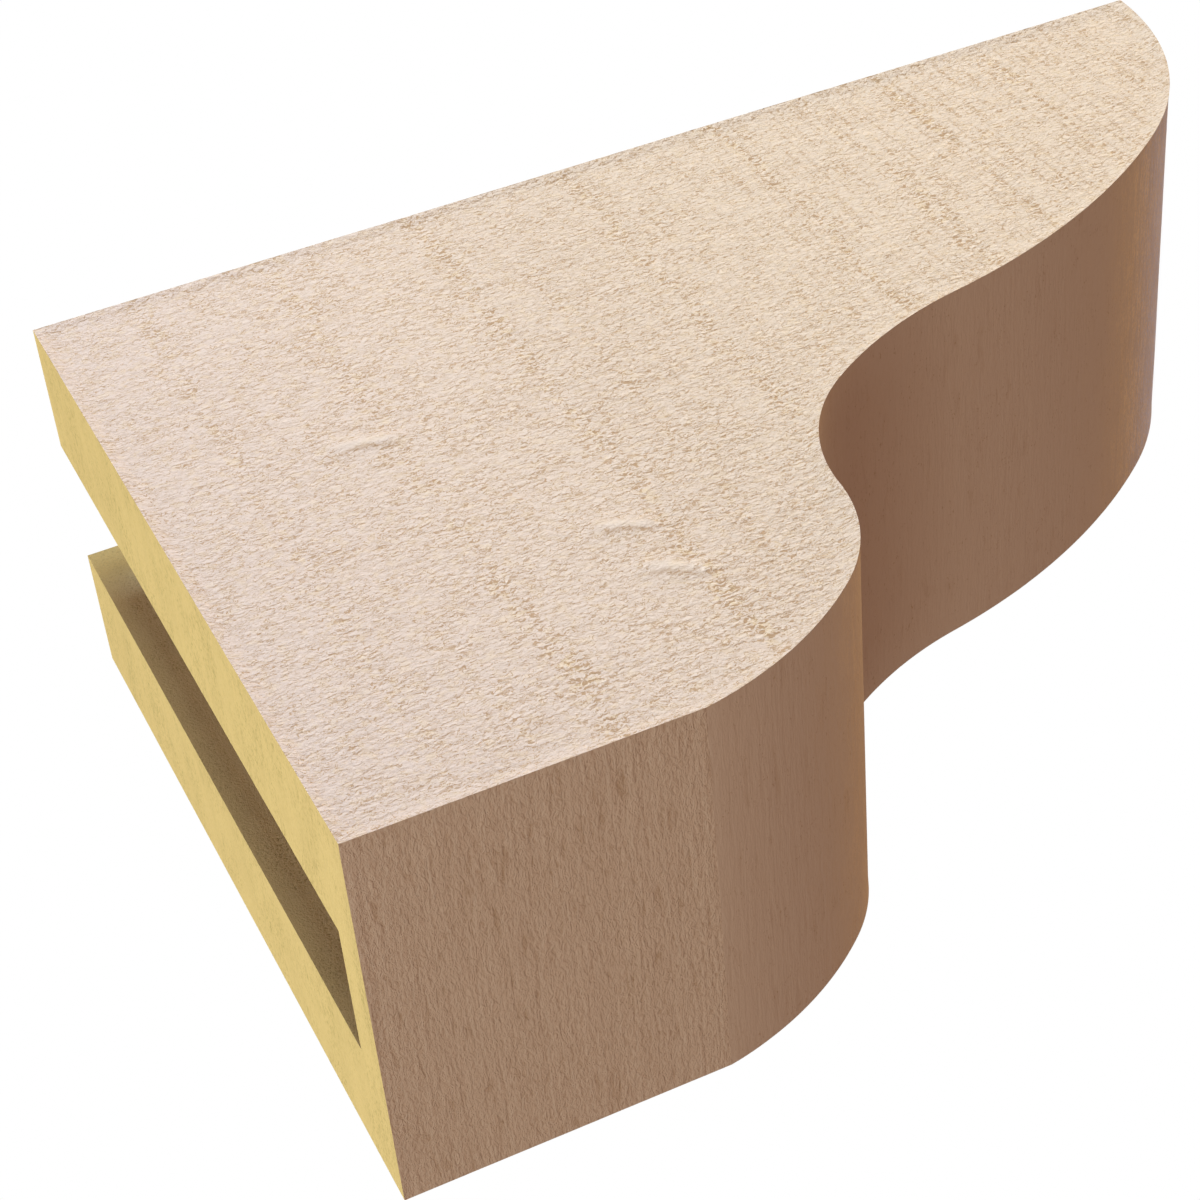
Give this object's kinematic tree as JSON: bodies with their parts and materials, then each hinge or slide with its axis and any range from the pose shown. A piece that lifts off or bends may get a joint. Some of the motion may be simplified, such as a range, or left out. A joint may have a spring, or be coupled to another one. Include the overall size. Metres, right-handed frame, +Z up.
{
  "type": "corbel",
  "caption": "Rough-sawn rafter-tail corbel cast in one piece, with a carved nose, cove and belly under a flat top and an open-topped mounting slot up its back.",
  "frame": {"origin": "on the flat back, in the middle of the closed strip below the slot, half way across the width", "axes": "+Z up as installed, +Y out of the back into the wall, so the corbel reaches out towards -Y; X runs across the width"},
  "size_m": [0.1016, 0.3048, 0.2032],
  "materials": {
    "primed_urethane": "matt tan primer over a rough-sawn grain; the back and the slot are bare yellow urethane"
  },
  "bodies": {
    "root": {"corbel": "primed_urethane"}
  },
  "joints": []
}
